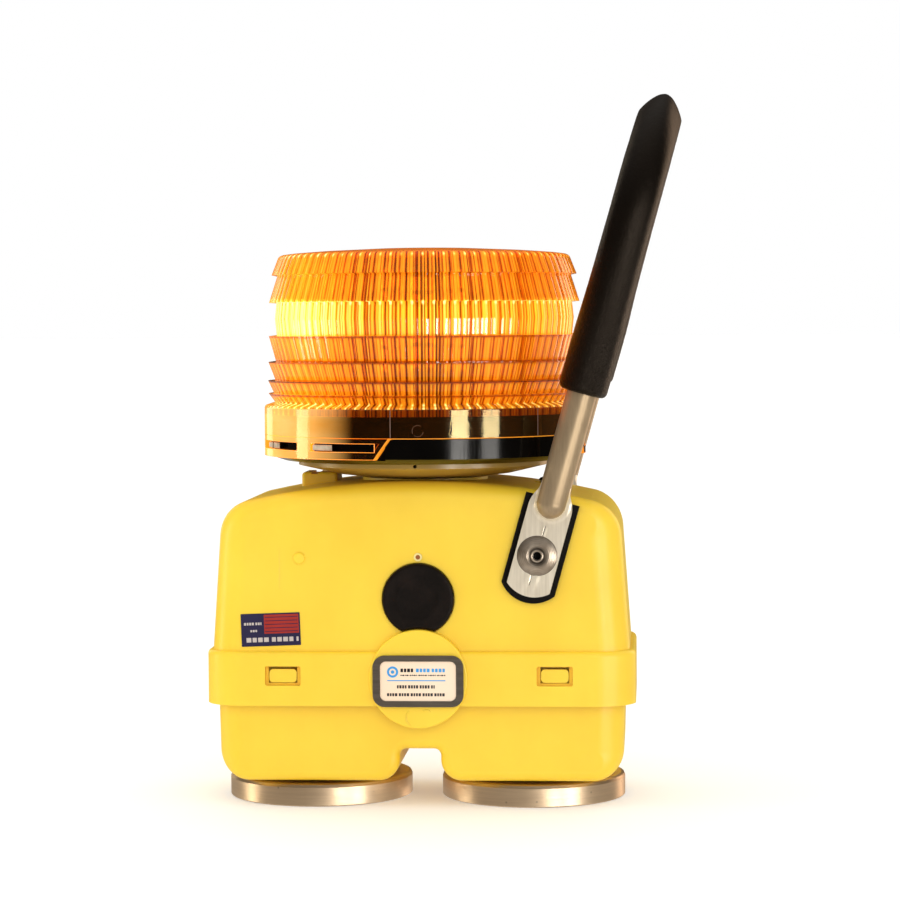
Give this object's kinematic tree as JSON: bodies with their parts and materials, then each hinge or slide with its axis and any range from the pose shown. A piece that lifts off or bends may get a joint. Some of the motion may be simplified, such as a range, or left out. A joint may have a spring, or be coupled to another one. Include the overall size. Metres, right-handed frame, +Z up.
{
  "type": "barricade warning light",
  "caption": "Battery case on two round magnets with an amber fluted beacon on top and a swinging padded bail handle.",
  "frame": {"origin": "midway between the two magnets, on the surface that they stand on", "axes": "+Z up, front face towards -Y, handle pivot on the +X side"},
  "size_m": [0.2019, 0.1384, 0.3008],
  "materials": {
    "yellow_plastic": "semi-gloss moulded",
    "pale_yellow_plastic": "semi-gloss moulded",
    "black_plastic": "gloss moulded",
    "amber_lens": "clear amber, fluted",
    "aluminium_tube": "drawn, lightly brushed",
    "black_grip": "pebble grain",
    "black_rubber": "matt",
    "rivet_steel": "turned",
    "nickel_plate": "nickel plated",
    "ferrite": "matt",
    "zinc_steel": "zinc plated",
    "spring_steel": "bright",
    "contact_brass": "bright",
    "battery_jacket": "printed jacket",
    "foam": "foam",
    "circuit_board": "solder mask",
    "components": "matt",
    "led_package": "lit amber diode",
    "heat_sink": "extruded",
    "label_frame_metal": "brushed",
    "label_film": "printed film",
    "sticker_film": "printed film",
    "red_insulation": "wire insulation",
    "black_insulation": "wire insulation",
    "sensor_window": "clear brown",
    "cream_plastic": "semi-gloss"
  },
  "bodies": {
    "lower_case": {"battery_cushions": "foam", "battery_left": "battery_jacket", "battery_right": "battery_jacket", "battery_springs_left": "spring_steel", "battery_springs_right": "spring_steel", "case_gasket": "black_rubber", "lower_case": "yellow_plastic", "magnet_bolts": "zinc_steel", "magnet_core_left": "ferrite", "magnet_core_right": "ferrite", "magnet_cup_left": "nickel_plate", "magnet_cup_right": "nickel_plate", "magnet_nuts": "zinc_steel", "magnet_washers": "black_rubber"},
    "upper_case": {"adapter_screws": "zinc_steel", "base_screws": "zinc_steel", "beacon_adapter": "pale_yellow_plastic", "beacon_base": "black_plastic", "blanking_plugs": "yellow_plastic", "board_components": "components", "button_spring": "spring_steel", "contact_board": "circuit_board", "contact_board_screws": "zinc_steel", "contact_strips": "contact_brass", "driver_board": "circuit_board", "handle_rivets": "rivet_steel", "label_frame": "label_frame_metal", "label_plate": "label_film", "led_modules": "led_package", "led_tower": "heat_sink", "lens_seal": "black_rubber", "photocell_bezel": "cream_plastic", "photocell_sensor": "sensor_window", "photocell_wire": "black_insulation", "rivet_washers": "zinc_steel", "shoulder_plug": "black_rubber", "side_sticker": "sticker_film", "switch_body": "black_plastic", "switch_retainer": "zinc_steel", "switch_wires": "black_insulation", "upper_case": "yellow_plastic", "wire_black": "black_insulation", "wire_grommet": "black_rubber", "wire_red": "red_insulation"},
    "handle": {"handle_grip": "black_grip", "handle_pad_front": "black_rubber", "handle_pad_rear": "black_rubber", "handle_tube": "aluminium_tube"},
    "lens": {"lens": "amber_lens"},
    "button": {"button_boot": "black_rubber", "switch_plunger": "cream_plastic"},
    "latch_front_left": {"latch_front_left": "yellow_plastic"},
    "latch_front_right": {"latch_front_right": "yellow_plastic"},
    "latch_rear_left": {"latch_rear_left": "yellow_plastic"},
    "latch_rear_right": {"latch_rear_right": "yellow_plastic"}
  },
  "joints": [
    {"name": "hood_lift", "type": "slide", "parent": "lower_case", "child": "upper_case", "axis": [0, 0, 1], "range_m": [0, 0.135], "deforming": ["latch_front_left", "latch_front_right", "latch_rear_left", "latch_rear_right"]},
    {"name": "handle_swing", "type": "hinge", "parent": "upper_case", "child": "handle", "pos_m": [0.05, 0, 0.1068], "axis": [0, 1, 0], "range_deg": [-6, 100]},
    {"name": "lens_twist", "type": "hinge", "parent": "upper_case", "child": "lens", "pos_m": [0, 0, 0.16], "axis": [0, 0, -1], "range_deg": [0, 12]},
    {"name": "button_press", "type": "slide", "parent": "upper_case", "child": "button", "axis": [0, 1, 0], "range_m": [0, 0.002], "stiffness_N_per_m": 400, "springref_m": -0.001, "deforming": ["button_spring"]},
    {"name": "latch_front_left_flex", "type": "hinge", "parent": "lower_case", "child": "latch_front_left", "pos_m": [-0.057, -0.0398, 0.0448], "axis": [-1, 0, 0], "range_deg": [0, 12], "stiffness_Nm_per_rad": 0.1},
    {"name": "latch_front_right_flex", "type": "hinge", "parent": "lower_case", "child": "latch_front_right", "pos_m": [0.057, -0.0398, 0.0448], "axis": [-1, 0, 0], "range_deg": [0, 12], "stiffness_Nm_per_rad": 0.1},
    {"name": "latch_rear_left_flex", "type": "hinge", "parent": "lower_case", "child": "latch_rear_left", "pos_m": [-0.057, 0.0398, 0.0448], "axis": [1, 0, 0], "range_deg": [0, 12], "stiffness_Nm_per_rad": 0.1},
    {"name": "latch_rear_right_flex", "type": "hinge", "parent": "lower_case", "child": "latch_rear_right", "pos_m": [0.057, 0.0398, 0.0448], "axis": [1, 0, 0], "range_deg": [0, 12], "stiffness_Nm_per_rad": 0.1}
  ]
}
